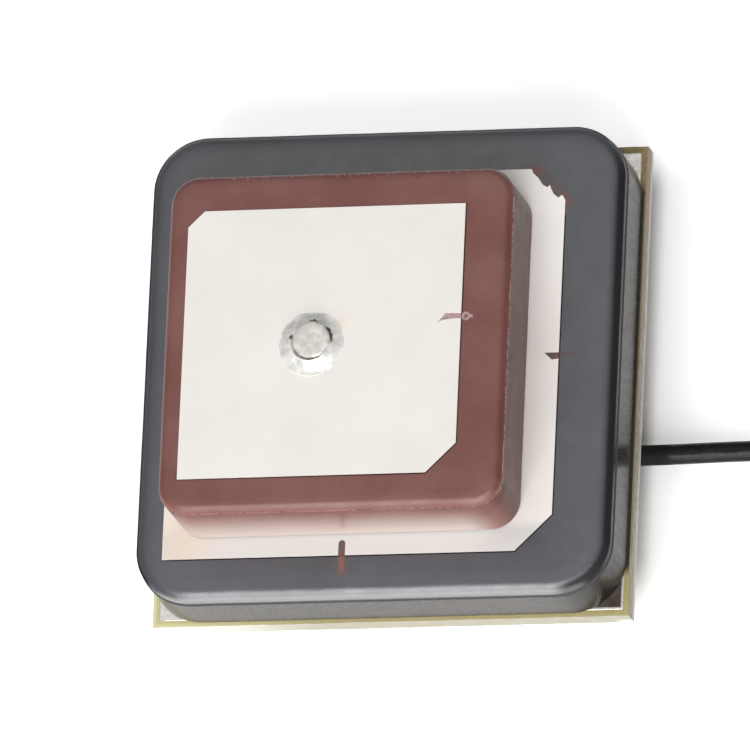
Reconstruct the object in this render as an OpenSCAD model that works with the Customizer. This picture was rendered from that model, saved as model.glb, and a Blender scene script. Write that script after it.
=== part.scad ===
// Stacked two-band satellite navigation patch antenna with its amplifier board and coax lead.
// Millimetres, +Z up. The origin is under the middle of the module, on the surface that it stands on.

/* [Circuit board] */
// Width of the board along X
board_x = 35.15; // [34:0.05:36]
// Depth of the board along Y
board_y = 35.2; // [34:0.05:36]
// Thickness of the glass-fibre laminate
board_t = 1.6; // [0.8:0.1:2]
// Bare laminate left round the tinned copper
copper_margin = 0.47; // [0.2:0.01:1]
// Thickness of the copper with its tin
copper_t = 0.05; // [0.04:0.01:0.1]

/* [Lower antenna block] */
// Side of the grey ceramic block
lower_side = 35; // [34:0.1:35.2]
// Height of the grey ceramic block
lower_h = 5.56; // [4:0.02:8]
// Radius of its upright corners
lower_corner_r = 4; // [3.2:0.1:5]
// How far in its domed top edge reaches
lower_dome_w = 1; // [0.6:0.05:1.4]
// How far down its domed top edge falls
lower_dome_h = 0.55; // [0.3:0.05:0.9]
// Upright step between the dome and the land on the wall
lower_step_h = 0.87; // [0:0.01:1.2]
// Side of the silver patch on top
lower_patch = 28.58; // [27:0.02:30]
// Two opposite cut corners of the patch, along each side
lower_trim = 2.65; // [0.5:0.05:4]

/* [Upper antenna block] */
// Side of the red ceramic block
upper_side = 25.2; // [24:0.1:26]
// Height of the red ceramic block
upper_h = 6.25; // [4:0.05:8]
// Radius of its upright corners
upper_corner_r = 2.1; // [1.8:0.1:4]
// Radius of its rounded top edge
upper_edge_r = 0.65; // [0.3:0.05:0.8]
// Width of the silver patch along X
upper_patch_x = 20.37; // [18:0.01:21]
// Depth of the silver patch along Y
upper_patch_y = 20.03; // [18:0.01:21]
// Large cut corner of the patch, along each side
upper_trim_front = 2.15; // [0.5:0.05:4]
// Small cut corner of the patch, along each side
upper_trim_back = 1.18; // [0.4:0.02:3]

/* [Layers] */
// Thickness of each printed silver layer
silver_t = 0.03; // [0.02:0.01:0.05]
// Thickness of the tape under the grey block
lower_tape_t = 0.2; // [0.1:0.05:0.5]
// Thickness of the tape under the red block
upper_tape_t = 0.15; // [0.1:0.05:0.5]

/* [Feed pin] */
// Diameter of the pin's flat head
head_d = 2.8; // [2.2:0.1:3.2]
// Thickness of the head
head_t = 0.55; // [0.3:0.05:0.8]
// Diameter of the pin's shank
shank_d = 1; // [0.8:0.1:1.2]
// Diameter of the feed hole through blocks and board
feed_hole_d = 1.4; // [1.3:0.1:1.8]
// Outer diameter of the solder round the head
top_solder_d = 4.75; // [4:0.05:5.5]

/* [Shield can] */
// Side of the can
can_side = 28; // [26:0.5:30]
// Height of the can
can_h = 3; // [2.8:0.1:4]
// Thickness of its sheet
sheet_t = 0.2; // [0.15:0.05:0.3]
// Radius of its upright corners
can_corner_r = 1.5; // [1:0.1:3]
// Radius of its bottom edge
can_edge_r = 0.6; // [0.4:0.1:0.9]

/* [Coax lead] */
// Outer diameter of the lead
lead_d = 1.5; // [1.3:0.1:1.6]
// Diameter over its braid
braid_d = 1.15; // [1:0.05:1.2]
// Diameter of its insulation
insulation_d = 0.85; // [0.7:0.05:0.95]
// Diameter of its inner wire
wire_d = 0.3; // [0.2:0.05:0.4]

/* [Hidden] */

$fn = 64;
cut = 0.1;

// Heights of the stack, from the surface upwards
board_z = can_h + copper_t;
top_copper_z = board_z + board_t;
lower_tape_z = top_copper_z + copper_t;
lower_ground_z = lower_tape_z + lower_tape_t;
lower_z = lower_ground_z + silver_t;
lower_patch_z = lower_z + lower_h;
upper_tape_z = lower_patch_z + silver_t;
upper_ground_z = upper_tape_z + upper_tape_t;
upper_z = upper_ground_z + silver_t;
upper_patch_z = upper_z + upper_h;
solder_z = upper_patch_z + silver_t;

// Places in the plan: the pieces are stuck on by hand, so none is quite central
board_at = [0.065, 0];
lower_at = [-0.14, 0.1];
lower_patch_at = lower_at + [-1.08, -0.14];
upper_at = lower_at + [-1.73, -0.25];
upper_patch_at = lower_at + [-2.675, -0.395];
upper_turn = 0.1;
feed_at = lower_at + [-3.3, -0.44];
top_solder_at = feed_at + [-0.1, -0.14];

// Narrow land where the pressed edge meets the wall of each block
lower_land = 0.08;
upper_land = 0.03;

// Layers under the blocks stop short of the blocks' sides
tape_inset = 0.4;
ground_inset = 0.25;
ground_gap_d = 3;

// Marks ground into the patches when they were tuned, from the middle of the lower block
front_trim_x = -2.12;
front_trim_w = 0.5;
front_trim_depth = 1.14;
side_trim = [[12.13, 0.32], [13.4, 0.32], [13.4, -0.12], [12.72, -0.22]];
upper_side_trim = [[5.8, 0.78], [6.2, 0.95], [6.7, 1], [7.7, 1.06], [7.7, 1.41], [6.36, 1.45]];
// The back corner of the lower patch was ground off by hand, which left two small teeth
ground_corner = [
    [10.62, 14.2], [10.78, 13.82], [11.16, 13.46], [11.5, 12.94], [11.87, 12.74], [12.02, 12.93],
    [12.16, 12.57], [12.33, 12.22], [12.71, 11.93], [12.95, 12.15], [13.25, 11.7], [14, 14.8],
];

// Solder joints
hollow = 1.2;
solder_gap = 0.15;
solder_rise = 0.62;
pin_stub = 0.65;
bottom_solder_r = 1.1;
bottom_pad_d = 2.6;
tack_l = 4;
tack_leg = 0.6;
tack_at = 8.5;

// Ground ring that the can is soldered to
ring_out = 30.6;
ring_in = 26.6;

// Amplifier board parts, each at [x, y, turn]
amplifiers = [[2.2, -0.34, 0], [8.6, -0.5, 90]];
filters = [[5.2, 1.5, 0], [5.2, -2, 0], [11.2, -1.4, 90]];
regulators = [[6.2, 7.6, 0]];
capacitors = [
    [-0.6, -0.34, 0], [2.2, 1.9, 90], [8.6, 1.9, 90], [8.6, -2.9, 90], [3.2, 7, 90],
    [9.2, 7, 90], [9.2, 9.4, 90], [-8, 6, 0], [-8, 4.6, 0], [11.2, 1.4, 90],
];
resistors = [[3.2, 9.4, 90], [-5.6, 6, 0], [-5.6, 4.6, 0], [-10.4, 6, 0]];
inductors = [[-0.6, 1.3, 90], [2.2, -2.7, 90], [6.2, 4.6, 0], [-0.6, -2, 90]];
amplifier_size = [1.5, 1.5, 0.6];
filter_size = [1.4, 1.1, 0.6];
filter_lid_t = 0.25;
filter_lid_step = 0.2;
regulator_size = [2.9, 1.6, 1.1];
regulator_lead_w = 0.4;
regulator_lead_pitch = 0.95;
regulator_lead_reach = 0.6;
regulator_lead_t = 0.15;
regulator_bend = 0.2;
// Its five leads, each as side and place along that side
regulator_leads = [[-1, -1], [-1, 0], [-1, 1], [1, -1], [1, 1]];
chip_l = 1;
chip_w = 0.5;
capacitor_t = 0.5;
resistor_t = 0.35;
inductor_t = 0.6;
inductor_waist = 0.35;
end_cap_l = 0.25;
end_cap_proud = 0.02;
pad_size = [0.5, 0.6];
dot_r = 0.15;
dot_depth = 0.05;
dot_off = 0.5;

// The lead's end inside the can: jacket, braid, insulation and wire are cut back in steps
lead_r = lead_d / 2;
lead_y = -4.92;
lead_z = can_h - lead_r;
jacket_x = 11.6;
braid_x = 9.4;
insulation_x = 8.2;
wire_x = 7;
wire_joint_x = 7.3;
braid_solder_l = 1.6;
braid_solder_foot = 2.9;
braid_solder_top = 1.4;
braid_pad = [2.6, 3.2];
wire_pad = [1.6, 1.6];
wire_pad_rim = 0.1;
notch_clear = 0.1;
notch_l = 2;

// Route of the lead from inside the can, under the board and down to the coil
route = [
    [jacket_x, lead_y, lead_z], [14, lead_y, lead_z], [16, lead_y, lead_z],
    [18, -4.92, 2.24], [20, -4.89, 2.21], [22, -4.82, 2.12], [24, -4.74, 1.98],
    [26, -4.66, 1.76], [28, -4.59, 1.46], [30, -4.53, 1.14], [32, -4.5, 0.88],
    [34, -4.5, 0.77], [36, -4.5, 0.75], [37.8, -4.5, 0.75],
];

// The coil: two flat turns that close in by a little over one diameter each
coil_start_r = 10.55;
coil_pitch = 1.55;
coil_turns = 2;
coil_end_r = coil_start_r - coil_turns * coil_pitch;
coil_at = [37.8, -4.5 + coil_start_r];

// Push-on plug, in its own frame: X runs from the crimp to the head
crimp_in = 1.9;
crimp_l = 2.1;
crimp_t = 0.18;
crimp_gap = 0.5;
plug_head_x = 4.3;
plug_head_d = 3;
plug_head_h = 2.2;
plug_wall = 0.2;
plug_slot_w = 0.35;
plug_insulator_h = 1.1;
plug_contact_d = 0.75;
plug_contact_bore = 0.45;
plug_contact_top = 1.8;
plug_neck_w = 1.5;

// The tail curls into the coil and rises into the plug's crimp
tail_r = 4.5;
tail_sweep = 110;
tail_steps = 8;
tail_middle = coil_at + [0, tail_r - coil_end_r];
crimp_lift = 0.2;
tail_end = tail_middle + tail_r * [sin(tail_sweep), -cos(tail_sweep)];
tail_ahead = [cos(tail_sweep), sin(tail_sweep)];
tail = [
    for (i = [0:tail_steps])
        let (a = tail_sweep * i / tail_steps)
        [
            tail_middle.x + tail_r * sin(a), tail_middle.y - tail_r * cos(a),
            lead_r + crimp_lift * pow(i / tail_steps, 2),
        ],
    [each (tail_end + crimp_in * tail_ahead), lead_r + crimp_lift],
];

// Tie round the coil's strands
tie_w = 1.8;
tie_t = 0.25;
tie_angle = 60;

// A square of silver or copper with its four corners cut: front left, front right, back right, back left
module cut_square(size, legs) {
    x = size.x / 2;
    y = size.y / 2;
    polygon([
        [-x, -y + legs[0]], [-x + legs[0], -y],
        [x - legs[1], -y], [x, -y + legs[1]],
        [x, y - legs[2]], [x - legs[2], y],
        [-x + legs[3], y], [-x, y - legs[3]],
    ]);
}

// Half of a pressed block's section. The top edge falls in an arc, dome.x wide and dome.y high, then
// upright by the step, and ends on a narrow land that stands out to the wall.
module pressed_section(half_w, h, dome, step_h, land) {
    reach = half_w - land;
    flat = reach - dome.x;
    arc_r = (dome.x * dome.x + dome.y * dome.y) / (2 * dome.y);
    square([half_w, h - dome.y - step_h]);
    square([reach, h - dome.y]);
    square([flat, h]);
    intersection() {
        square([reach, h]);
        translate([flat, h - arc_r]) circle(arc_r);
    }
}

// A square block with rounded upright corners and a domed top edge, as a press makes it
module pressed_block(side, h, corner_r, dome, step_h = 0, land = 0) {
    half = side / 2;
    for (turn = [0, 90])
        rotate([0, 0, turn])
            rotate([90, 0, 0])
                linear_extrude(side - 2 * corner_r, center = true) {
                    pressed_section(half, h, dome, step_h, land);
                    mirror([1, 0]) pressed_section(half, h, dome, step_h, land);
                }
    for (x = [-1, 1], y = [-1, 1])
        translate([x * (half - corner_r), y * (half - corner_r), 0])
            rotate_extrude() pressed_section(corner_r, h, dome, step_h, land);
}

module feed_hole(d) {
    translate(feed_at) circle(d = d);
}

// A square with round corners
module round_square(side, corner_r) {
    run = side - 2 * corner_r;
    square([side, run], center = true);
    square([run, side], center = true);
    for (x = [-1, 1], y = [-1, 1])
        translate([x * run / 2, y * run / 2]) circle(corner_r);
}

// A thin layer under a block, set in from its sides, with a hole round the feed pin
module layer(side, corner_r, inset, at, z, t) {
    translate([0, 0, z])
        linear_extrude(t)
            difference() {
                translate(at) round_square(side - 2 * inset, corner_r - inset);
                feed_hole(ground_gap_d);
            }
}

module circuit_board() {
    color([0.72, 0.69, 0.5])
        translate([0, 0, board_z])
            linear_extrude(board_t)
                difference() {
                    translate(board_at) square([board_x, board_y], center = true);
                    feed_hole(feed_hole_d);
                }
}

module top_copper() {
    color([0.86, 0.84, 0.82])
        translate([0, 0, top_copper_z])
            linear_extrude(copper_t)
                difference() {
                    translate(board_at)
                        square([board_x - 2 * copper_margin, board_y - 2 * copper_margin], center = true);
                    feed_hole(ground_gap_d);
                }
}

// Two pads at the ends of a small part
module end_pads(spots, gap) {
    for (spot = spots, side = [-1, 1])
        translate([spot.x, spot.y])
            rotate(spot[2])
                translate([side * gap / 2, 0])
                    square(pad_size, center = true);
}

module bottom_copper() {
    color([0.84, 0.82, 0.78])
        translate([0, 0, board_z - copper_t])
            linear_extrude(copper_t) {
                difference() {
                    square(ring_out, center = true);
                    square(ring_in, center = true);
                }
                difference() {
                    feed_hole(bottom_pad_d);
                    feed_hole(feed_hole_d);
                }
                end_pads(concat(capacitors, resistors, inductors), chip_l);
                end_pads(concat(amplifiers, filters), amplifier_size.x);
                for (spot = regulators)
                    translate([spot.x, spot.y]) rotate(spot[2]) regulator_pads();
                translate([(jacket_x + braid_x) / 2, lead_y]) square(braid_pad, center = true);
                translate([wire_joint_x, lead_y]) square(wire_pad, center = true);
            }
}

module lower_tape() {
    color([0.9, 0.9, 0.88])
        layer(lower_side, lower_corner_r, tape_inset, lower_at, lower_tape_z, lower_tape_t);
}

module lower_ground_silver() {
    color([0.86, 0.84, 0.8])
        layer(lower_side, lower_corner_r, ground_inset, lower_at, lower_ground_z, silver_t);
}

module lower_ceramic() {
    color([0.4, 0.4, 0.42])
        difference() {
            translate([lower_at.x, lower_at.y, lower_z])
                pressed_block(
                    lower_side, lower_h, lower_corner_r, [lower_dome_w, lower_dome_h],
                    lower_step_h, lower_land
                );
            translate([0, 0, lower_z - cut])
                linear_extrude(lower_h + 2 * cut) feed_hole(feed_hole_d);
        }
}

// A slot with a round end, ground in from the front edge of the lower patch
module front_trim() {
    run = front_trim_depth - front_trim_w / 2;
    translate([lower_at.x + front_trim_x, lower_patch_at.y - lower_patch / 2]) {
        translate([-front_trim_w / 2, -cut]) square([front_trim_w, run + cut]);
        translate([0, run]) circle(d = front_trim_w);
    }
}

module lower_patch() {
    color([0.87, 0.84, 0.82])
        translate([0, 0, lower_patch_z])
            linear_extrude(silver_t)
                difference() {
                    translate(lower_patch_at)
                        cut_square([lower_patch, lower_patch], [0, lower_trim, 0, lower_trim]);
                    translate(lower_at) polygon(ground_corner);
                    translate(lower_at) polygon(side_trim);
                    front_trim();
                    feed_hole(ground_gap_d);
                }
}

module upper_tape() {
    color([0.9, 0.9, 0.88])
        layer(upper_side, upper_corner_r, tape_inset, upper_at, upper_tape_z, upper_tape_t);
}

module upper_ground_silver() {
    color([0.86, 0.84, 0.8])
        layer(upper_side, upper_corner_r, ground_inset, upper_at, upper_ground_z, silver_t);
}

module upper_ceramic() {
    color([0.5, 0.34, 0.32])
        difference() {
            translate([upper_at.x, upper_at.y, upper_z])
                rotate([0, 0, upper_turn])
                    pressed_block(
                        upper_side, upper_h, upper_corner_r, [upper_edge_r, upper_edge_r],
                        land = upper_land
                    );
            translate([0, 0, upper_z - cut])
                linear_extrude(upper_h + 2 * cut) feed_hole(feed_hole_d);
        }
}

module upper_patch() {
    color([0.94, 0.93, 0.9])
        translate([0, 0, upper_patch_z])
            linear_extrude(silver_t)
                difference() {
                    translate(upper_patch_at)
                        rotate(upper_turn)
                            cut_square(
                                [upper_patch_x, upper_patch_y],
                                [0, upper_trim_front, 0, upper_trim_back]
                            );
                    translate(lower_at) polygon(upper_side_trim);
                    feed_hole(feed_hole_d);
                }
}

// Flat head on a long shank that runs down through both blocks and the board
module feed_pin() {
    shank_low = board_z - copper_t - pin_stub;
    head_low = solder_z + solder_gap;
    color([0.82, 0.81, 0.79])
        translate(feed_at) {
            translate([0, 0, shank_low]) cylinder(d = shank_d, h = head_low - shank_low + cut);
            translate([0, 0, head_low]) cylinder(d = head_d, h = head_t);
        }
}

// Half section of a solder fillet, with a hollow slope between its foot and what it holds
module fillet_section(outer_r, inner_r, rise) {
    reach = outer_r - inner_r;
    slope = norm([reach, rise]);
    middle = [(outer_r + inner_r) / 2, rise / 2] + hollow * [rise, reach];
    square([inner_r, rise]);
    difference() {
        translate([inner_r, 0]) square([reach, rise]);
        translate(middle) circle(slope * norm([hollow, 0.5]));
    }
}

module top_solder() {
    color([0.85, 0.85, 0.84])
        translate([0, 0, solder_z])
            difference() {
                translate(top_solder_at)
                    rotate_extrude() fillet_section(top_solder_d / 2, head_d / 2, solder_rise);
                translate([feed_at.x, feed_at.y, solder_gap]) cylinder(d = head_d, h = solder_rise);
                translate([feed_at.x, feed_at.y, -cut]) cylinder(d = shank_d, h = solder_rise);
            }
}

module bottom_solder() {
    color([0.8, 0.8, 0.8])
        translate([feed_at.x, feed_at.y, board_z - copper_t])
            mirror([0, 0, 1])
                difference() {
                    rotate_extrude() fillet_section(bottom_solder_r, shank_d / 2, pin_stub - cut);
                    translate([0, 0, -cut]) cylinder(d = shank_d, h = pin_stub + cut);
                }
}

// One drawn sheet: floor and walls in one piece, with a notch for the lead
module shield_can() {
    color([0.78, 0.78, 0.76])
        difference() {
            translate([0, 0, can_h])
                mirror([0, 0, 1])
                    pressed_block(can_side, can_h, can_corner_r, [can_edge_r, can_edge_r]);
            translate([0, 0, can_h])
                mirror([0, 0, 1])
                    translate([0, 0, -cut])
                        pressed_block(
                            can_side - 2 * sheet_t, can_h - sheet_t + cut,
                            can_corner_r - sheet_t, [can_edge_r - sheet_t, can_edge_r - sheet_t]
                        );
            translate([(can_side - notch_l) / 2, lead_y, lead_z]) {
                rotate([0, 90, 0]) cylinder(r = lead_r + notch_clear, h = notch_l);
                translate([0, -lead_r - notch_clear, 0])
                    cube([notch_l, lead_d + 2 * notch_clear, can_h]);
            }
        }
}

// Short solder fillets along the foot of each wall
module shield_solder() {
    color([0.8, 0.8, 0.8])
        for (turn = [0:90:270], side = [-1, 1])
            rotate([0, 0, turn])
                translate([can_side / 2, side * tack_at + tack_l / 2, can_h])
                    rotate([90, 0, 0])
                        linear_extrude(tack_l)
                            polygon([[0, 0], [tack_leg, 0], [0, -tack_leg]]);
}

// Places parts on the underside of the board, with their own Z pointing down from it
module under_board(spots) {
    for (spot = spots)
        translate([spot.x, spot.y, board_z - copper_t])
            rotate([0, 0, spot[2]])
                mirror([0, 0, 1]) children();
}

module amplifier_chips() {
    color([0.1, 0.1, 0.11])
        under_board(amplifiers)
            difference() {
                translate([-amplifier_size.x / 2, -amplifier_size.y / 2, 0]) cube(amplifier_size);
                translate([-dot_off, dot_off, amplifier_size.z - dot_depth])
                    cylinder(r = dot_r, h = cut);
            }
}

module band_filters() {
    color([0.75, 0.7, 0.55])
        under_board(filters) {
            linear_extrude(filter_size.z - filter_lid_t)
                square([filter_size.x, filter_size.y], center = true);
            linear_extrude(filter_size.z)
                square([filter_size.x - filter_lid_step, filter_size.y - filter_lid_step], center = true);
        }
}

module regulator_pads() {
    out = (regulator_size.y + regulator_lead_reach) / 2;
    for (lead = regulator_leads)
        translate([lead[1] * regulator_lead_pitch, lead[0] * out]) square(pad_size.y, center = true);
}

module voltage_regulator() {
    half = regulator_size.y / 2;
    knee = regulator_size.z / 2;
    foot = half + regulator_lead_reach;
    bend = half + regulator_bend;
    t = regulator_lead_t;
    color([0.12, 0.12, 0.13])
        under_board(regulators) {
            translate([0, 0, t])
                linear_extrude(regulator_size.z - t)
                    square([regulator_size.x, regulator_size.y], center = true);
            for (lead = regulator_leads)
                translate([lead[1] * regulator_lead_pitch - regulator_lead_w / 2, 0, 0])
                    mirror([0, lead[0] > 0 ? 0 : 1, 0])
                        rotate([90, 0, 90])
                            linear_extrude(regulator_lead_w)
                                polygon([
                                    [half - cut, knee], [bend, knee], [bend, t], [foot, t],
                                    [foot, 0], [bend - t, 0], [bend - t, knee - t], [half - cut, knee - t],
                                ]);
        }
}

// A small block between two metal end caps
module chip(t, waist) {
    translate([0, 0, t / 2]) cube([chip_l, waist, t - 2 * end_cap_proud], center = true);
    for (side = [-1, 1])
        translate([side * (chip_l - end_cap_l) / 2, 0, t / 2])
            cube([end_cap_l, chip_w + 2 * end_cap_proud, t], center = true);
}

module chip_capacitors() {
    color([0.66, 0.55, 0.42]) under_board(capacitors) chip(capacitor_t, chip_w);
}

module chip_resistors() {
    color([0.15, 0.15, 0.16]) under_board(resistors) chip(resistor_t, chip_w);
}

module chip_inductors() {
    color([0.6, 0.62, 0.6]) under_board(inductors) chip(inductor_t, inductor_waist);
}

// A length of the lead's inner layers along X, inside the can
module lead_layer(from_x, to_x, outer_d, inner_d) {
    translate([from_x, lead_y, lead_z])
        rotate([0, 90, 0])
            linear_extrude(to_x - from_x)
                difference() {
                    circle(d = outer_d);
                    if (inner_d > 0) circle(d = inner_d);
                }
}

module coax_braid() {
    color([0.8, 0.78, 0.74]) lead_layer(braid_x, jacket_x, braid_d, insulation_d);
}

module coax_insulation() {
    color([0.93, 0.93, 0.92]) lead_layer(insulation_x, jacket_x, insulation_d, wire_d);
}

module coax_wire() {
    color([0.85, 0.82, 0.76]) lead_layer(wire_x, jacket_x, wire_d, 0);
}

// Solder that fills the space between the braid and its pad
module braid_solder() {
    foot = braid_solder_foot / 2;
    top = braid_solder_top / 2;
    depth = lead_z - can_h;
    color([0.8, 0.8, 0.8])
        difference() {
            translate([(jacket_x + braid_x - braid_solder_l) / 2, lead_y, can_h])
                rotate([90, 0, 90])
                    linear_extrude(braid_solder_l)
                        polygon([[-foot, 0], [foot, 0], [top, depth], [-top, depth]]);
            translate([braid_x - cut, lead_y, lead_z])
                rotate([0, 90, 0]) cylinder(d = braid_d, h = jacket_x - braid_x + 2 * cut);
        }
}

module wire_solder() {
    foot_d = wire_pad.x - 2 * wire_pad_rim;
    color([0.8, 0.8, 0.8])
        difference() {
            translate([wire_joint_x, lead_y, can_h])
                mirror([0, 0, 1])
                    cylinder(d1 = foot_d, d2 = 2 * wire_d, h = can_h - lead_z + wire_d);
            translate([wire_x, lead_y, lead_z])
                rotate([0, 90, 0]) cylinder(d = wire_d, h = wire_pad.x);
        }
}

// A round tube swept along a route, with one ring of points at each stop of the route
function unit(v) = v / norm(v);
function heading(path, i) =
    unit(path[min(i + 1, len(path) - 1)] - path[max(i - 1, 0)]);
function ring_point(path, i, a, r) =
    let (
        ahead = heading(path, i),
        across = unit(cross([0, 0, 1], ahead)),
        up = cross(ahead, across)
    )
    path[i] + r * (cos(a) * across + sin(a) * up);

module swept_tube(path, r, sides = 8) {
    rings = len(path);
    points = [
        for (i = [0:rings - 1], s = [0:sides - 1])
            ring_point(path, i, 360 * (s + 0.5) / sides, r)
    ];
    walls = [
        for (i = [0:rings - 2], s = [0:sides - 1])
            let (n = (s + 1) % sides)
            [i * sides + s, i * sides + n, (i + 1) * sides + n, (i + 1) * sides + s]
    ];
    ends = [
        [for (s = [sides - 1:-1:0]) s],
        [for (s = [0:sides - 1]) (rings - 1) * sides + s],
    ];
    polyhedron(points, concat(walls, ends));
}

module coax_lead() {
    color([0.1, 0.1, 0.1]) swept_tube(route, lead_r);
}

// Outer shape of the coil, from its inner strand to its outer one
module lead_coil() {
    inner = coil_end_r - lead_r;
    outer = coil_start_r + lead_r;
    color([0.1, 0.1, 0.1])
        translate(coil_at)
            rotate_extrude() {
                translate([inner + lead_r, 0]) square([outer - inner - lead_d, lead_d]);
                for (r = [inner + lead_r, outer - lead_r])
                    translate([r, lead_r]) circle(lead_r);
            }
}

module lead_tail() {
    color([0.1, 0.1, 0.1]) swept_tube(tail, lead_r);
}

// Flat tie drawn round the strands on the far side of the coil
module coil_tie() {
    inner = coil_end_r - lead_r;
    outer = coil_start_r + lead_r;
    color([0.15, 0.15, 0.15])
        translate(coil_at)
            rotate([0, 0, tie_angle])
                translate([0, tie_w / 2, 0])
                    rotate([90, 0, 0])
                        linear_extrude(tie_w)
                            difference() {
                                translate([inner - tie_t, 0])
                                    square([outer - inner + 2 * tie_t, lead_d + 2 * tie_t]);
                                translate([inner, tie_t]) square([outer - inner, lead_d]);
                            }
}

// Puts the plug at the end of the tail
module at_plug() {
    translate([tail_end.x, tail_end.y, 0])
        rotate([0, 0, tail_sweep]) children();
}

// One piece of folded sheet: the crimp round the jacket, a neck and the slotted ring of the head
module plug_shell() {
    axis_z = lead_r + crimp_lift;
    crimp_r = lead_r + crimp_t;
    color([0.83, 0.72, 0.45])
        at_plug() {
            difference() {
                translate([0, 0, axis_z])
                    rotate([0, 90, 0]) cylinder(r = crimp_r, h = crimp_l);
                translate([-cut, 0, axis_z])
                    rotate([0, 90, 0]) cylinder(r = lead_r, h = crimp_l + 2 * cut);
                translate([-cut, -crimp_gap / 2, axis_z]) cube([crimp_l + 2 * cut, crimp_gap, lead_d]);
            }
            difference() {
                translate([crimp_l - cut, -plug_neck_w / 2, 0])
                    cube([plug_head_x - crimp_l, plug_neck_w, plug_wall]);
                translate([plug_head_x, 0, -cut]) cylinder(d = plug_head_d, h = plug_wall + 2 * cut);
            }
            translate([plug_head_x, 0, 0])
                difference() {
                    cylinder(d = plug_head_d, h = plug_head_h);
                    translate([0, 0, plug_wall])
                        cylinder(d = plug_head_d - 2 * plug_wall, h = plug_head_h);
                    for (turn = [45, 135])
                        rotate([0, 0, turn])
                            translate([-plug_head_d, -plug_slot_w / 2, plug_insulator_h + plug_wall])
                                cube([2 * plug_head_d, plug_slot_w, plug_head_h]);
                }
        }
}

module plug_insulator() {
    color([0.93, 0.93, 0.9])
        at_plug()
            translate([plug_head_x, 0, plug_wall])
                difference() {
                    cylinder(d = plug_head_d - 2 * plug_wall, h = plug_insulator_h);
                    translate([0, 0, plug_wall]) cylinder(d = plug_contact_d, h = plug_insulator_h);
                }
}

module plug_contact() {
    color([0.85, 0.68, 0.3])
        at_plug()
            translate([plug_head_x, 0, 2 * plug_wall])
                difference() {
                    cylinder(d = plug_contact_d, h = plug_contact_top - 2 * plug_wall);
                    translate([0, 0, plug_wall])
                        cylinder(d = plug_contact_bore, h = plug_contact_top);
                }
}

circuit_board();
top_copper();
bottom_copper();
lower_tape();
lower_ground_silver();
lower_ceramic();
lower_patch();
upper_tape();
upper_ground_silver();
upper_ceramic();
upper_patch();
feed_pin();
top_solder();
bottom_solder();
shield_can();
shield_solder();
amplifier_chips();
band_filters();
voltage_regulator();
chip_capacitors();
chip_resistors();
chip_inductors();
coax_braid();
coax_insulation();
coax_wire();
braid_solder();
wire_solder();
coax_lead();
lead_coil();
lead_tail();
coil_tie();
plug_shell();
plug_insulator();
plug_contact();
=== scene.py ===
"""Looks of a stacked two-band satellite navigation antenna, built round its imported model.

Lengths are in metres, and a value whose name ends in _MM is in millimetres. X runs to the side where
the lead leaves, Y to the back and Z up from the surface that the module stands on.
"""

import math

import bmesh
import bpy
from mathutils import Euler, Matrix, Vector, noise


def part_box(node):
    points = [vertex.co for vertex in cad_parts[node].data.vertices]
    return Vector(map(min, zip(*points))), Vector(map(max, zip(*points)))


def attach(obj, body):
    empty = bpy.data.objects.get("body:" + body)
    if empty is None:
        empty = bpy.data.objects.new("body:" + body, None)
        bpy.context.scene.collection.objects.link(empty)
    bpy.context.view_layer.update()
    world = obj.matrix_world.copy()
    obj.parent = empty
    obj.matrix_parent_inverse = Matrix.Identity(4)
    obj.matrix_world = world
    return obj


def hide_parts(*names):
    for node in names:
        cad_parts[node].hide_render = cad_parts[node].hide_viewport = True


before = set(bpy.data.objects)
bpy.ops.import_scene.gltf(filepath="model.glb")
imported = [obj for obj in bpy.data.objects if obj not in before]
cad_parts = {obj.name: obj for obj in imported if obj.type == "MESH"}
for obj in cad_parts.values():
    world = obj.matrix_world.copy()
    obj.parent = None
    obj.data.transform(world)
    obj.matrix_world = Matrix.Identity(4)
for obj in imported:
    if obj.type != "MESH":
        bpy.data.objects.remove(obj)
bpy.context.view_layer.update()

MM = 0.001
UP = Vector((0, 0, 1))

# Points nearer to each other than MERGED are one, and a point nearer to a side than ON_SIDE is part of it
MERGED = 1e-7
ON_SIDE = 1e-6

# The camera stands far above the right front corner, turned a little, with a very long lens
CAMERA_PLACE = Vector((0.34196, -0.42715, 1.35986))
CAMERA_TURN = (17.63869, 13.45858, 2.56677)
CAMERA_LENS_MM = 975.81

# Coax lead: its route from inside the can, under the board and down to the coil
LEAD_D = 1.5 * MM
LEAD_EXIT = Vector((14, -4.92, 2.25)) * MM
LEAD_ROUTE_MM = [
    (11.6, -4.92, 2.25), (14, -4.92, 2.25), (16, -4.92, 2.25), (18, -4.92, 2.24), (20, -4.89, 2.21),
    (22, -4.82, 2.12), (24, -4.74, 1.98), (26, -4.66, 1.76), (28, -4.59, 1.46), (30, -4.53, 1.14),
    (32, -4.5, 0.88), (34, -4.5, 0.77), (36, -4.5, 0.75), (37.8, -4.5, 0.75),
]
COIL_START_R = 10.55 * MM
COIL_PITCH = 1.55 * MM
COIL_TURNS = 2
COIL_MIDDLE = Vector((37.8, -4.5, 0)) * MM + Vector((0, COIL_START_R, 0))
POINTS_PER_TURN = 24
LEAD_STEPS_ROUND = 5
LEAD_STEPS_ALONG = 6
TAIL_R = 4.5 * MM
TAIL_SWEEP = math.radians(110)
TAIL_POINTS = 8
CRIMP_LIFT = 0.2 * MM
CRIMP_IN = 1.9 * MM

# Tie round the coil's strands
TIE_ANGLE = math.radians(60)
TIE_T = 0.25 * MM
TIE_HUMP = math.radians(16)

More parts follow.
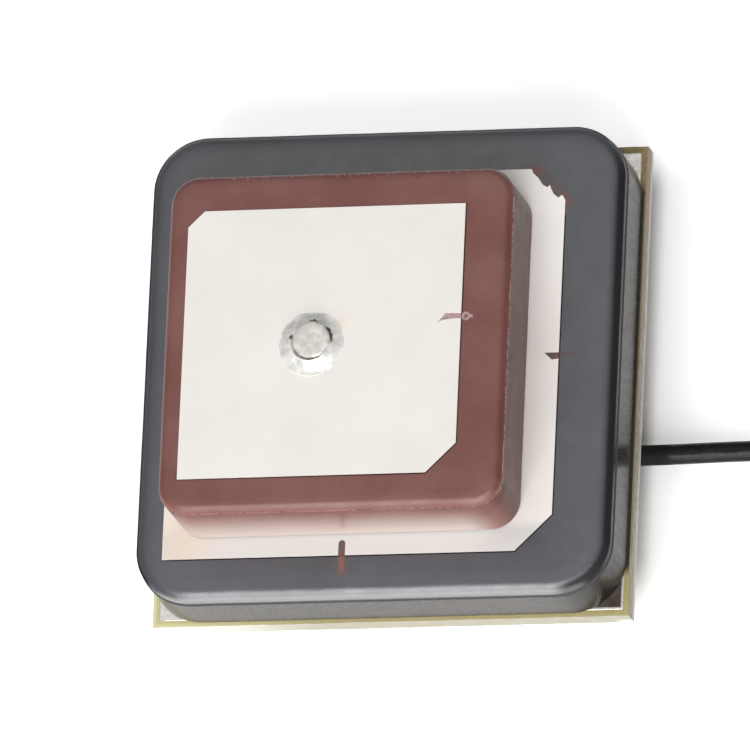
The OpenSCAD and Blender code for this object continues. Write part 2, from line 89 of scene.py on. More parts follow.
# Pressed blocks: radius of the uprights, radius and steepest slope of the domed top edge, the gentle
# slope that leads from the flat top into it and how wide that is, the dome's height, the upright step
# under it, and the narrow land that the step ends on
GREY_CORNER_R = 4 * MM
GREY_DOME_R = 1.06 * MM
GREY_DOME_SLOPE = math.radians(57.6)
GREY_DOME_H = 0.55 * MM
GREY_STEP = 0.87 * MM
GREY_LAND = 0.08 * MM
RED_CORNER_R = 2.1 * MM
RED_DOME_R = 0.63 * MM
RED_DOME_SLOPE = math.radians(90)
RED_DOME_H = 0.65 * MM
RED_LAND = 0.03 * MM
RED_TURN = math.radians(0.1)
GENTLE_SLOPE = math.radians(9)
GREY_GENTLE_W = 0.9 * MM
RED_GENTLE_W = 0.3 * MM
DOME_RINGS = 12
GENTLE_RINGS = 4
CORNER_SEGMENTS = 20
GREY_EDGE = (GREY_LAND, GREY_STEP, GREY_DOME_H, GREY_DOME_R, GREY_DOME_SLOPE, GREY_GENTLE_W)
RED_EDGE = (RED_LAND, 0, RED_DOME_H, RED_DOME_R, RED_DOME_SLOPE, RED_GENTLE_W)

# Spacing of the meshes that are made uneven, and the depth and size of their swells
BLOCK_CELL = 0.5 * MM
BLOCK_SWELLS = [(0.012 * MM, 1.3 * MM), (0.008 * MM, 0.4 * MM)]
BOARD_CELL = 0.4 * MM
BOARD_LAYER = 0.25 * MM
BOARD_SWELLS = [(0.03 * MM, 0.9 * MM), (0.02 * MM, 0.25 * MM)]
GREY_SEED = 1
RED_SEED = 7
SEED_STEP = 5

# Tin on the board: the share of its height that is flat, and the bead on it in steps: how far in each
# one lies and what share it adds
TIN_FLAT_SHARE = 0.4
TIN_BEAD = [(0.04 * MM, 0.34), (0.08 * MM, 0.18), (0.12 * MM, 0.08)]
TIN_CELL = 0.5 * MM

# Feed pin: its head's size, the profile of the head's top, the flat at its front, and how its rim and its
# top are dented. The size of the dents round the rim is a share of the radius.
HEAD_R = 1.4 * MM
HEAD_T = 0.55 * MM
HEAD_TOP_MM = [
    (0, 0), (0.5, 0), (0.9, -0.003), (1.2, -0.012), (1.33, -0.04), (1.39, -0.1), (1.4, -0.2),
]
HEAD_FLAT = 1.31 * MM
RIM_STARTS_R = 0.6 * MM
RIM_WORN = 0.03 * MM
RIM_DENTS = (0.07 * MM, 1 / 2.4)
RIM_NICKS = (0.03 * MM, 0.3 * MM)
TOP_T = 0.15 * MM
TOP_WORN = 0.02 * MM
TOP_DENTS = (0.02 * MM, 0.5 * MM)
SHANK_R = 0.5 * MM
PIN_STEPS = 72

# Solder round the pin's head: its rise, its thin outer edge, how hollow its slope is, the profile of its
# side under the head, and its lumps
SOLDER_RISE = 0.62 * MM
SOLDER_EDGE = 0.03 * MM
SOLDER_HOLLOW = 1.5
SOLDER_UNDER_HEAD = [
    (HEAD_R - 0.08 * MM, SOLDER_RISE * 0.7), (HEAD_R - 0.25 * MM, 0.05 * MM), (0.9 * MM, 0),
]
SOLDER_BULGES = (0.05 * MM, 1 / 1.8, (3, 0, 0))
SOLDER_LUMPS = (0.03 * MM, 0.35 * MM)
SOLDER_HEAVES = (0.08 * MM, 0.6 * MM, (0, 9, 0))
SOLDER_FOOT = 0.01 * MM
SOLDER_RINGS = 12
SOLDER_STEPS = 120

# Light and stage. A brightness of 1 shows as white in a mirror. The floor glows for the camera, a little
# more behind the board, and less in gloss.
FLOOR_R = 8.0
FLOOR_SEGMENTS = 96
FLOOR_GLOW = 0.56
GLOW_BEHIND = 0.05
FLOOR_GLOW_IN_GLOSS = 0.25
# The glow is lower along a line just inside the board's right edge, where the shadow is deepest: how far
# inside in millimetres, and how far to both sides and by how much, for a narrow shadow and a wide one
SHADOW_INSIDE = 0.8
DEEP_SHADOW = (1.5, 0.33)
FAINT_SHADOW = (9.5, 0.29)
# Each lamp's height above the horizon and its turn to the right of the front in degrees, its width and
# height, seen from a metre away, and its brightness
HIGH_BOX = (51, 6, 0.84, 0.46, 5.4)
FRONT_BOX = (18, 5, 1.0, 0.85, 3.6)
# Opposite corners of the dark card
CARD_LOW = Vector((0.056, -0.04, 0.004))
CARD_HIGH = Vector((0.057, 0.06, 0.045))
# The room's brightest direction, a little to the back left of overhead, and its brightness by how near
# it a direction comes, from 0 at right angles to it to 1
SKY_POLE = (-0.17, 0.2, 0.965)
SKY_SHADES = [
    (0, 0.14), (0.35, 0.24), (0.7, 0.38), (0.88, 0.46), (0.93, 0.54), (0.96, 0.72), (0.985, 0.98),
    (1, 1.16),
]

# Marks ground into the prints: middle, from the middle of the grey block, and size
GROUND_CORNER = ((12.06, 12.87), (4.2, 0.8))
GROUND_CORNER_TURN = -47
SIDE_MARK = ((12.6, 0.05), (1.4, 0.7))
SIDE_STREAK = ((13.8, 0.14), (1.2, 0.12))
FRONT_MARK = ((-2.11, -14.4), (0.42, 2.3))
FRONT_HALO = ((-2.11, -15.5), (0.7, 0.9))
SCRATCH = ((6.62, 1.15), (1.75, 0.9))
SCRATCH_END = ((7.86, 1.19), (1.0, 0.24))
# Outer and inner radius of the ring that the scratch ends in
SCRATCH_RING = (0.3, 0.17)

# Dark line just outside a print, in millimetres: where it ends, and where it starts to fade
SHADE_END = 0.13
SHADE_FULL = 0.06

# Painted shade in gaps of the feed's solder: direction and reach in degrees, distance from the pin's middle
FEED_GAPS = [(18, 34, 1.43), (86, 16, 1.46), (170, 10, 1.5)]


def middle(node):
    """Middle of a node's box."""
    low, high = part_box(node)
    return (low + high) / 2


def box_mm(node):
    """Lowest and highest corners of a node's box, in millimetres."""
    low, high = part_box(node)
    return low / MM, high / MM


GREY_MIDDLE = middle("lower_ceramic")
RED_MIDDLE = middle("upper_ceramic")
FEED = middle("feed_pin")
FEED_ON_PLAN = Vector((FEED.x, FEED.y, 0)) / MM


def from_grey(x_mm, y_mm):
    """A place given from the middle of the grey block, as a point in millimetres."""
    return Vector((GREY_MIDDLE.x / MM + x_mm, GREY_MIDDLE.y / MM + y_mm, 0))


# Printed silver layers: middle, half sizes, the legs of the cut corners at the front and back, and how
# much of the back right corner is ground off
LOWER_PRINT = (from_grey(-1.08, -0.14), 14.29, 14.29, 2.65, 2.65, 3.6)
UPPER_PRINT = (from_grey(-2.675, -0.395), 10.185, 10.015, 2.15, 1.18, 0)

# Rusty haze on the grey block behind the red one: middle and size
BACK_HAZE = (Vector((RED_MIDDLE.x / MM - 7.5, box_mm("upper_ceramic")[1].y + 0.3, 0)), (10, 0.3))


# Colours

def paint(red, green, blue):
    """A colour given as 0 to 255 on screen, as the linear colour that a shader takes."""
    def linear(value):
        share = value / 255
        return share / 12.92 if share <= 0.04045 else ((share + 0.055) / 1.055) ** 2.4
    return (linear(red), linear(green), linear(blue), 1.0)


# Materials

class Finish:
    """One procedural material. Its patterns are laid out in millimetres on the object."""

    def __init__(self, name, colour, roughness, metallic=0.0, ior=1.5):
        self.material = bpy.data.materials.new(name)
        self.material.use_nodes = True
        self.tree = self.material.node_tree
        self.shader = self.tree.nodes["Principled BSDF"]
        self.set("Base Color", colour)
        self.set("Roughness", roughness)
        self.set("Metallic", metallic)
        self.set("IOR", ior)
        coordinates = self.tree.nodes.new("ShaderNodeTexCoord")
        scaled = self.tree.nodes.new("ShaderNodeVectorMath")
        scaled.operation = "SCALE"
        self.feed(scaled.inputs[0], coordinates.outputs["Object"])
        scaled.inputs["Scale"].default_value = 1 / MM
        self.place = scaled.outputs["Vector"]

    def feed(self, socket, value):
        """Links an output to a socket, or sets the socket's own value."""
        if isinstance(value, bpy.types.NodeSocket):
            self.tree.links.new(value, socket)
        else:
            socket.default_value = value

    def set(self, name, value):
        self.feed(self.shader.inputs[name], value)

    def math(self, operation, first, second=0.0):
        made = self.tree.nodes.new("ShaderNodeMath")
        made.operation = operation
        self.feed(made.inputs[0], first)
        self.feed(made.inputs[1], second)
        return made.outputs[0]

    def plus(self, first, second):
        return self.math("ADD", first, second)

    def minus(self, first, second):
        return self.math("SUBTRACT", first, second)

    def times(self, first, second):
        return self.math("MULTIPLY", first, second)

    def noise(self, size, detail=3.0, roughness=0.55, stretch=(1, 1, 1)):
        """Cloudy noise, from 0 to 1 with 0.5 in the middle, whose blots are about size millimetres."""
        laid = self.tree.nodes.new("ShaderNodeMapping")
        self.feed(laid.inputs["Vector"], self.place)
        laid.inputs["Scale"].default_value = stretch
        made = self.tree.nodes.new("ShaderNodeTexNoise")
        self.feed(made.inputs["Vector"], laid.outputs["Vector"])
        made.inputs["Scale"].default_value = 1 / size
        made.inputs["Detail"].default_value = detail
        made.inputs["Roughness"].default_value = roughness
        return made.outputs["Fac"]

    def mottle(self, size, detail=3.0, roughness=0.55, levels=(0.3, 0.7), reach=(0.0, 1.0)):
        """Blots of about size millimetres, which go from one end of reach to the other as the noise
        goes from one level to the other."""
        return self.spread(self.noise(size, detail, roughness), *levels, *reach)

    def spread(self, value, low, high, to_low=0.0, to_high=1.0):
        """A smooth step from to_low at low to to_high at high."""
        made = self.tree.nodes.new("ShaderNodeMapRange")
        made.interpolation_type = "SMOOTHSTEP"
        self.feed(made.inputs["Value"], value)
        made.inputs["From Min"].default_value = low
        made.inputs["From Max"].default_value = high
        made.inputs["To Min"].default_value = to_low
        made.inputs["To Max"].default_value = to_high
        return made.outputs["Result"]

    def blend(self, amount, first, second):
        """From the first colour at 0 to the second at 1."""
        made = self.tree.nodes.new("ShaderNodeMix")
        made.data_type = "RGBA"
        self.feed(made.inputs["Factor"], amount)
        self.feed(made.inputs[6], first)
        self.feed(made.inputs[7], second)
        return made.outputs[2]

    def between(self, amount, first, second):
        """From the first number at 0 to the second at 1."""
        made = self.tree.nodes.new("ShaderNodeMix")
        made.data_type = "FLOAT"
        self.feed(made.inputs[0], amount)
        self.feed(made.inputs[2], first)
        self.feed(made.inputs[3], second)
        return made.outputs[0]

    def laid(self, centre, turn=0.0):
        """Coordinates in millimetres from a centre, turned by so many degrees."""
        made = self.tree.nodes.new("ShaderNodeMapping")
        made.vector_type = "TEXTURE"
        self.feed(made.inputs["Vector"], self.place)
        made.inputs["Location"].default_value = centre
        made.inputs["Rotation"].default_value = (0, 0, math.radians(turn))
        return made.outputs["Vector"]

    def split(self, vector):
        made = self.tree.nodes.new("ShaderNodeSeparateXYZ")
        self.feed(made.inputs[0], vector)
        return made.outputs

    def length(self, x, y):
        return self.math("SQRT", self.plus(self.times(x, x), self.times(y, y)))

    def highest(self, *values):
        most = values[0]
        for value in values[1:]:
            most = self.math("MAXIMUM", most, value)
        return most

    def rectangle(self, centre, size, turn=0.0, soft=0.1):
        """1 inside a rectangle of the plan, 0 outside, with soft edges."""
        x, y = self.split(self.laid(centre, turn))[:2]
        past_x = self.minus(self.math("ABSOLUTE", x), size[0] / 2)
        past_y = self.minus(self.math("ABSOLUTE", y), size[1] / 2)
        return self.spread(self.highest(past_x, past_y), soft / 2, -soft / 2)

    def mark(self, place, turn=0.0, soft=0.1):
        """A rectangle given by its middle, from the middle of the grey block, and its size."""
        centre, size = place
        return self.rectangle(from_grey(*centre), size, turn, soft)

    def disc(self, centre, radius, soft=0.1):
        """1 inside an upright cylinder, 0 outside, with a soft edge."""
        out = self.length(*self.split(self.laid(centre))[:2])
        return self.spread(out, radius + soft / 2, radius - soft / 2)

    def beside(self, print_shape):
        """1 on the thin line just outside a print's right and front edges, 0 elsewhere."""
        centre, half_x, half_y, front_cut, back_cut, ground = print_shape
        reach = half_x + half_y
        x, y = self.split(self.laid(centre))[:2]
        slant = self.minus(x, y)
        diagonal = math.sqrt(0.5)
        past = self.highest(
            self.minus(self.math("ABSOLUTE", x), half_x),
            self.minus(self.math("ABSOLUTE", y), half_y),
            self.times(self.minus(slant, reach - front_cut), diagonal),
            self.times(self.minus(back_cut - reach, slant), diagonal),
        )
        line = self.times(self.spread(past, -0.03, 0.0), self.spread(past, SHADE_END, SHADE_FULL))
        whole = self.spread(self.plus(x, y), reach - ground + 0.4, reach - ground)
        return self.times(self.times(line, whole), self.spread(slant, -2, 2))

    def relief(self, height, depth_mm):
        """Bumps of that depth where height goes from 0 to 1."""
        made = self.tree.nodes.new("ShaderNodeBump")
        made.inputs["Distance"].default_value = depth_mm * MM
        self.feed(made.inputs["Height"], height)
        self.set("Normal", made.outputs["Normal"])


def grey_ceramic():
    """Smooth pressed top and domed edge, whose gloss dies away down the left, right and back rims, where
    dark metal paints a dark reflection in, as painted shade. The steps under the edge are painted
    lighter at the front, as painted light, and a dull grey at the right, as painted shade. The marks
    ground into the print run on over it."""
    made = Finish("grey ceramic", paint(46, 46, 49), 0.3, ior=2.1)
    top = box_mm("lower_ceramic")[1].z
    height = made.split(made.place)[2]
    x, y = made.split(made.laid(from_grey(0, 0)))[:2]

    def down(start, end):
        """From 0 to 1 between two depths under the top, in millimetres."""
        return made.spread(height, top - start, top - end)

    colour = made.blend(made.mottle(9, 4), paint(39, 41, 50), paint(51, 53, 62))
    specks = made.mottle(0.12, 2, levels=(0.66, 0.74))
    colour = made.blend(made.times(specks, 0.4), colour, paint(80, 80, 82))

    # Left, back and right rims and the right front corner get a painted dark reflection, as painted shade,
    # made with dark metal where their gloss would show a brighter floor
    ragged = made.mottle(0.35, 4, 0.6, reach=(-0.2, 0.2))
    left = made.times(made.spread(x, -16, -16.6), down(0.16, 0.46))
    back = made.times(made.spread(y, 16, 16.6, 0, 0.7), down(0.26, 0.44))
    right = made.times(made.spread(made.plus(x, ragged), 14.7, 16.5), down(0.04, 0.24))
    right = made.times(right, made.spread(y, 16.8, 13.5))
    right_front_shade = made.times(made.spread(made.minus(x, y), 30.4, 31.8), down(0.04, 0.24))
    right = made.highest(right, right_front_shade)
    painted_dark_rims = made.times(made.highest(left, back, right), down(1.4, 1.1))
    # The right rim's dark metal colour, a painted dark reflection
    colour = made.blend(right, colour, paint(64, 62, 65))
    # Painted shade: the step under the right rim is painted a dull grey to match the dark rim above it
    right_step = made.times(made.spread(x, 16.6, 17.1), down(0.5, 0.75))
    colour = made.blend(right_step, colour, paint(66, 64, 64))
    # Painted light: the step under the front edge is painted lighter, most near its top, where the front lamp
    # falls
    front_step = made.times(made.spread(y, -16.5, -17.1), down(0.25, 0.55))
    painted_front_light = made.blend(down(0.95, 1.15), paint(124, 121, 122), paint(66, 64, 65))
    colour = made.blend(front_step, colour, painted_front_light)
    shade = made.times(made.beside(LOWER_PRINT), 0.9)
    colour = made.blend(shade, colour, paint(30, 30, 31))

    dust = made.mottle(0.4, levels=(0.3, 0.6), reach=(0.55, 1))
    corner = made.times(made.mark(GROUND_CORNER, GROUND_CORNER_TURN, 1.0), dust)
    rust = made.blend(made.mottle(0.9, levels=(0.42, 0.58)), paint(98, 86, 81), paint(124, 80, 70))
    colour = made.blend(corner, colour, rust)
    haze = made.rectangle(*BACK_HAZE, 0, 1.0)
    colour = made.blend(made.times(haze, 0.5), colour, paint(122, 80, 72))
    side = made.highest(made.mark(SIDE_MARK), made.times(made.mark(SIDE_STREAK, 0, 0.16), 0.8))
    front = made.highest(made.mark(FRONT_MARK, 0, 0.2), made.times(made.mark(FRONT_HALO, 0, 0.7), 0.35))
    cuts = made.times(made.highest(side, front), dust)
    cut_colour = made.blend(made.spread(y, -14.2, -14.8), paint(118, 86, 81), paint(146, 98, 86))
    colour = made.blend(cuts, colour, cut_colour)
    made.set("Base Color", colour)

    marks = made.highest(made.times(cuts, 0.6), made.times(corner, 0.4))
    # Dark metal paints the rims' dark reflection and the shade line beside the print; the ground marks are
    # partly metal too
    made.set("Metallic", made.highest(painted_dark_rims, shade, marks))
    polish = made.mottle(1.6, 5, 0.6, reach=(0.32, 0.4))
    matt_rims = made.times(painted_dark_rims, made.minus(1.0, right_step))
    made.set("Roughness", made.between(made.highest(corner, cuts, matt_rims), polish, 0.75))
    rounding = made.times(down(0.005, 0.06), down(0.5, 0.3))
    pits = made.times(made.noise(0.18, 3, 0.6), made.times(rounding, 2.2))
    grain = made.plus(made.noise(0.35, 4, 0.6), made.times(made.noise(2.5, 2), 2.0))
    made.relief(made.plus(grain, pits), 0.006)
    return made.material


def grey_wall():
    """Smooth pressed side, glossy enough to mirror the lead, with faint upright streaks. Painted shade
    darkens its right front corner, its right end and its foot, and it is darker in a band under the
    land."""
    made = Finish("grey ceramic side", paint(66, 64, 64), 0.3, ior=1.3)
    low, high = box_mm("lower_ceramic")
    land = high.z - (GREY_DOME_H + GREY_STEP) / MM
    x, y, height = made.split(made.place)
    streaks = made.spread(made.noise(0.5, 4, stretch=(1, 1, 0.15)), 0.35, 0.7)
    colour = made.blend(streaks, paint(70, 68, 68), paint(84, 81, 79))
    colour = made.blend(made.spread(x, -9, -16), colour, paint(86, 81, 80))
    # Painted shade at the right front corner, also dark in its gloss, and along the right end
    right_front_shade = made.times(made.spread(x, 11, 16.5), made.spread(y, -12, -15))
    colour = made.blend(right_front_shade, colour, paint(36, 34, 31))
    colour = made.blend(made.spread(x, 16, 17.2, 0, 0.7), colour, paint(54, 50, 49))
    right_back = made.times(made.spread(x, 13, 16), made.spread(y, 9, 14))
    colour = made.blend(right_back, colour, paint(86, 83, 80))
    # Darker in a band just under the land
    colour = made.blend(made.spread(height, land - 0.3, land), colour, paint(40, 38, 38))
    # Painted shadow along the foot, fainter along the front, also dark in its gloss
    painted_foot_shadow = made.times(made.spread(height, low.z + 0.3, low.z + 0.05), made.spread(y, -17, -16, 0.2, 1))
    made.set("Base Color", made.blend(painted_foot_shadow, colour, paint(36, 33, 28)))
    made.set("Metallic", made.highest(made.times(painted_foot_shadow, 0.8), made.times(right_front_shade, 0.45)))
    made.set("Roughness", made.spread(streaks, 0, 1, 0.24, 0.3))
    made.relief(made.noise(0.3, 4), 0.006)
    return made.material


def red_ceramic(name="red ceramic", roughness=0.42, ior=1.6, painted_light_share=0.0):
    """The last argument is the share of the red that painted light replaces at the foot of the front side,
    a painted glow and reflection of the bright silver below. The right side is painted darker by nearly
    as much, as painted shade."""
    made = Finish(name, paint(113, 66, 60), roughness, ior=ior)
    low, high = box_mm("upper_ceramic")
    shoulder = high.z - RED_DOME_H / MM
    x, y, height = made.split(made.place)
    colour = made.blend(made.mottle(4.5, 4), paint(110, 62, 56), paint(121, 77, 71))
    spots = made.mottle(0.35, levels=(0.6, 0.7))
    colour = made.blend(made.times(spots, 0.3), colour, paint(92, 50, 48))
    specks = made.mottle(0.16, 2, levels=(0.68, 0.75))
    colour = made.blend(made.times(specks, 0.4), colour, paint(160, 116, 110))

    # Pale chips along the edge between dome and sides, in a narrow row that is wide on the right. The
    # row is also a painted highlight along that edge.
    narrow = made.times(
        made.spread(height, shoulder - 0.14, shoulder - 0.02), made.spread(height, shoulder + 0.12, shoulder),
    )
    wide = made.times(
        made.spread(height, shoulder - 0.5, shoulder - 0.3), made.spread(height, shoulder + 0.2, shoulder),
    )
    at_right = made.spread(x, high.x - 0.5, high.x - 0.2)
    edge = made.between(at_right, made.times(narrow, 0.5), made.times(wide, 0.9))
    chips_and_edge_highlight = made.times(edge, made.mottle(0.3, 4, 0.65, (0.42, 0.56)))
    colour = made.blend(chips_and_edge_highlight, colour, paint(200, 156, 150))
    at_back = made.times(
        made.spread(y, high.y - 0.6, high.y - 0.3), made.spread(height, shoulder - 0.5, shoulder),
    )
    nicks = made.times(at_back, made.mottle(0.2, levels=(0.62, 0.68)))
    colour = made.blend(nicks, colour, paint(206, 172, 160))

    # Painted light: the foot of the front side is painted pale, fading up the side and towards the right end
    front = made.spread(y, low.y + 0.9, low.y + 0.3, 0, painted_light_share)
    foot = made.spread(height, shoulder + 0.3, low.z - 1.2)
    fades = made.spread(x, high.x - 0.7, high.x - 4.0)
    colour = made.blend(made.times(made.times(front, foot), fades), colour, paint(214, 200, 192))
    # Painted shade: the right side is painted darker
    right = made.spread(x, high.x - 0.9, high.x - 0.3, 0, painted_light_share * 0.8)
    colour = made.blend(right, colour, paint(82, 54, 43))
    shade = made.times(made.beside(UPPER_PRINT), 0.85)
    colour = made.blend(shade, colour, paint(62, 40, 38))

    # The scratch runs into a ring
    end = from_grey(*SCRATCH_END[0])
    outer, inner = SCRATCH_RING
    scratch = made.highest(made.mark(SCRATCH), made.mark(SCRATCH_END))
    scratch = made.times(scratch, made.minus(0.85, made.disc(end, outer)))
    ring = made.minus(made.disc(end, outer, 0.14), made.times(made.disc(end, inner, 0.12), 0.8))
    dust = made.mottle(0.25, levels=(0.3, 0.5), reach=(0.55, 1))
    colour = made.blend(made.times(made.highest(scratch, ring), dust), colour, paint(186, 156, 154))
    made.set("Base Color", colour)
    made.set("Metallic", shade)
    made.set("Roughness", made.mottle(1.2, 5, 0.6, reach=(roughness * 0.92, roughness * 1.12)))
    grain = made.plus(made.noise(0.22, 4, 0.6), made.times(made.noise(1.5, 2), 2.0))
    made.relief(grain, 0.006)
    return made.material


def printed_silver(name, light, dark, tints):
    """Fired silver print: fine mesh grain, faint clouds, and warm tints where it has tarnished. Some
    tints are painted light and painted shade instead.
    """
    made = Finish(name, light, 0.5, metallic=0.2)
    colour = made.blend(made.mottle(5, 4, levels=(0.32, 0.68)), dark, light)
    for centre, size, soft, amount, tint in tints:
        spot = made.rectangle(centre, size, 0, soft)
        colour = made.blend(made.times(spot, amount), colour, tint)
    made.set("Base Color", colour)
    made.set("Roughness", made.mottle(0.8, 4, reach=(0.44, 0.56)))
    made.relief(made.noise(0.09, 3), 0.004)
    return made


def lower_silver():
    """Its front strip is burnished, so that it lights the red block's side; the rest is matt. Its front
    strip is painted a little darker, as painted shade, and its back right lighter, as painted light.
    """
    tints = [
        # Painted shade: the front strip is toned down where the lamps light it most
        (from_grey(0, -13.6), (40, 2.2), 1.2, 1, paint(221, 219, 216)),
        # Painted light: the back right is painted lighter where the red block shades it
        (from_grey(12, 10), (5, 10), 8, 1, paint(255, 250, 246)),
        (from_grey(-14, -13), (3, 4), 5, 0.8, paint(232, 212, 192)),
    ]
    made = printed_silver("silver of the lower patch", paint(244, 237, 232), paint(238, 231, 226), tints)
    y = made.split(made.place)[1]
    made.set("Metallic", made.spread(y, GREY_MIDDLE.y / MM - 12, GREY_MIDDLE.y / MM - 12.8, 0.02, 0.15))
    return made.material


def upper_silver():
    """Tarnished round the feed."""
    tints = [
        (FEED_ON_PLAN + Vector((1.6, 1.1, 0)), (0.5, 0.7), 1.3, 0.75, paint(228, 208, 152)),
        (FEED_ON_PLAN + Vector((0.1, -0.1, 0)), (4.0, 4.0), 2.2, 0.3, paint(232, 214, 206)),
    ]
    made = printed_silver("silver of the upper patch", paint(239, 236, 229), paint(235, 231, 225), tints)
    return made.material


def tin():
    """Dipped tin, dull at the board's front right corner, where it is painted dark brown as a painted
    reflection of the grey block.
    """
    made = Finish("dipped tin", paint(226, 220, 213), 0.16, metallic=0.5)
    blots = made.mottle(0.7, 4, levels=(0.35, 0.65))
    colour = made.blend(blots, paint(214, 208, 202), paint(232, 228, 222))
    low, high = box_mm("top_copper")
    # Painted reflection: the front right corner is painted dark, as the grey block would show in the tin
    dark = made.rectangle(Vector((high.x - 2.2, low.y + 2.2, 0)), (4.08, 4.08), 0, 0.1)
    colour = made.blend(dark, colour, made.blend(blots, paint(58, 49, 44), paint(78, 68, 61)))
    made.set("Base Color", colour)
    made.set("Metallic", made.minus(0.5, made.times(dark, 0.4)))
    made.set("Roughness", made.between(dark, made.mottle(0.4, 4, reach=(0.12, 0.3)), 0.6))
    made.relief(made.noise(0.5, 3), 0.01)
    return made.material


def laminate_face():
    """Bare laminate seen from above: resin over a fine weave, pale at the left, brown at the right back,
    with a painted shadow along the foot of the grey block's right side."""
    made = Finish("laminate face", paint(176, 168, 110), 0.45)
    along = made.noise(0.12, 1, stretch=(0.2, 3, 1))
    across = made.noise(0.12, 1, stretch=(3, 0.2, 1))
    weave = made.spread(made.highest(along, across), 0.45, 0.7)
    low, high = box_mm("circuit_board")
    x, y = made.split(made.place)[:2]
    inside = made.rectangle((low + high) / 2, (high - low).to_2d() - Vector((0.5, 0.5)), 0, 0.4)
    pale = made.blend(made.spread(x, -2, low.x), paint(178, 168, 118), paint(226, 221, 170))
    colour = made.blend(made.times(inside, 0.5), pale, paint(168, 146, 76))
    brown = made.blend(weave, paint(116, 92, 48), paint(148, 126, 78))
    front = made.spread(y, low.y + 1.5, low.y + 0.5)
    right = made.times(made.spread(x, 10, 17), made.minus(1.0, front))
    colour = made.blend(made.times(right, made.spread(y, -13, 9, 0.2, 0.85)), colour, brown)
    colour = made.blend(made.times(weave, 0.3), colour, paint(206, 196, 160))
    torn_edge = made.spread(x, high.x - 0.13, high.x - 0.06, 0, 0.8)
    colour = made.blend(torn_edge, colour, paint(156, 146, 132))
    wall = box_mm("lower_ceramic")[1].x
    off_middle = made.math("ABSOLUTE", made.minus(y, GREY_MIDDLE.y / MM))
    # Painted shadow along the foot of the grey block's right side
    painted_foot_shadow = made.times(made.spread(x, wall - 0.3, wall - 0.2), made.spread(x, wall + 0.17, wall + 0.1))
    painted_foot_shadow = made.times(painted_foot_shadow, made.spread(off_middle, 15, 13.8))
    made.set("Base Color", made.blend(painted_foot_shadow, colour, paint(62, 55, 44)))
    made.relief(weave, 0.01)
    return made.material


def laminate_side():
    """Sawn side of the laminate: pale torn fibres in layers, whitest at the left front, with a painted
    highlight along the foot of the right side."""
    made = Finish("laminate side", paint(196, 190, 176), 0.7)
    layers = made.spread(made.noise(0.16, 3, stretch=(0.25, 0.25, 3)), 0.35, 0.65)
    colour = made.blend(layers, paint(178, 166, 148), paint(220, 214, 206))
    torn = made.times(made.mottle(0.5, 4, levels=(0.5, 0.66)), 0.4)
    colour = made.blend(torn, colour, paint(160, 138, 116))
    low = box_mm("circuit_board")[0]
    x, y, height = made.split(made.place)
    front = made.spread(y, low.y + 0.4, low.y + 0.1)
    facing = made.blend(made.spread(x, -4, low.x + 2), paint(184, 180, 162), paint(244, 242, 232))
    colour = made.blend(made.times(front, 0.85), colour, facing)
    right = made.spread(x, 16, 17.2)
    right_back = made.times(right, made.spread(y, 0, 14))
    colour = made.blend(made.times(right_back, 0.6), colour, paint(186, 158, 138))
    # Painted highlight along the foot of the right side
    painted_edge_highlight = made.times(right, made.spread(height, low.z + 0.9, low.z + 0.2))
    made.set("Base Color", made.blend(made.times(painted_edge_highlight, 0.85), colour, paint(252, 249, 243)))
    made.relief(made.plus(layers, made.noise(0.1, 4)), 0.03)
    return made.material


def solder(name="solder", centre=(0, 0, 0), gaps=()):
    """Bright solder. A gap is where it has shrunk away from the pin's head, painted dark as painted shade
    in the crevice: its direction in degrees, how far it reaches to each side, and how far out from the
    centre it lies."""
    made = Finish(name, paint(222, 221, 217), 0.3, metallic=0.25)
    blots = made.mottle(0.6, levels=(0.35, 0.65))
    colour = made.blend(blots, paint(214, 213, 208), paint(236, 235, 232))
    x, y = made.split(made.laid(centre))[:2]
    angle = made.times(made.math("ARCTAN2", y, x), 180 / math.pi)
    out = made.plus(made.length(x, y), made.mottle(0.3, reach=(-0.06, 0.06)))
    # Painted shade in each gap
    for direction, reach, radius in gaps:
        past = made.math("ABSOLUTE", made.minus(angle, direction))
        off = made.math("ABSOLUTE", made.minus(out, radius))
        gap = made.spread(made.minus(off, made.spread(past, 0, reach, 0.13, 0.01)), 0.05, -0.03)
        gap = made.times(gap, made.spread(past, reach, reach * 0.7))
        colour = made.blend(gap, colour, paint(84, 82, 76))
    made.set("Base Color", colour)
    made.set("Roughness", made.mottle(0.5, reach=(0.22, 0.42)))
    made.relief(made.noise(0.7, 3), 0.05)
    return made.material


def pin_metal():
    made = Finish("plated pin", paint(212, 208, 202), 0.45, metallic=0.3)
    blots = made.mottle(0.5, 4, levels=(0.4, 0.66))
    made.set("Base Color", made.blend(blots, paint(208, 202, 195), paint(228, 224, 218)))
    made.set("Roughness", made.mottle(0.3, reach=(0.36, 0.5)))
    made.relief(made.noise(0.3, 4), 0.02)
    return made.material


def can_steel():
    made = Finish("tinned steel", paint(200, 200, 196), 0.24, metallic=1.0)
    brushed = made.noise(0.12, 3, stretch=(0.08, 2, 1))
    made.set("Roughness", made.spread(brushed, 0.3, 0.7, 0.18, 0.34))
    made.set("Base Color", made.blend(made.mottle(6, 4), paint(188, 188, 184), paint(208, 207, 203)))
    made.relief(brushed, 0.002)
    return made.material


def black_jacket():
    """Black sheath, scuffed where it leaves the board."""
    made = Finish("black jacket", paint(15, 15, 15), 0.3, ior=1.31)
    made.set("Base Color", made.blend(made.noise(0.6, 4), paint(10, 10, 10), paint(20, 20, 19)))
    x = made.split(made.place)[0]
    scuffed = made.spread(x, LEAD_EXIT.x / MM + 6, LEAD_EXIT.x / MM + 5.4)
    made.set("Roughness", made.between(scuffed, made.mottle(0.3, reach=(0.2, 0.38)), 0.7))
    made.relief(made.noise(0.3, 4, stretch=(0.3, 1, 1)), 0.04)
    return made.material


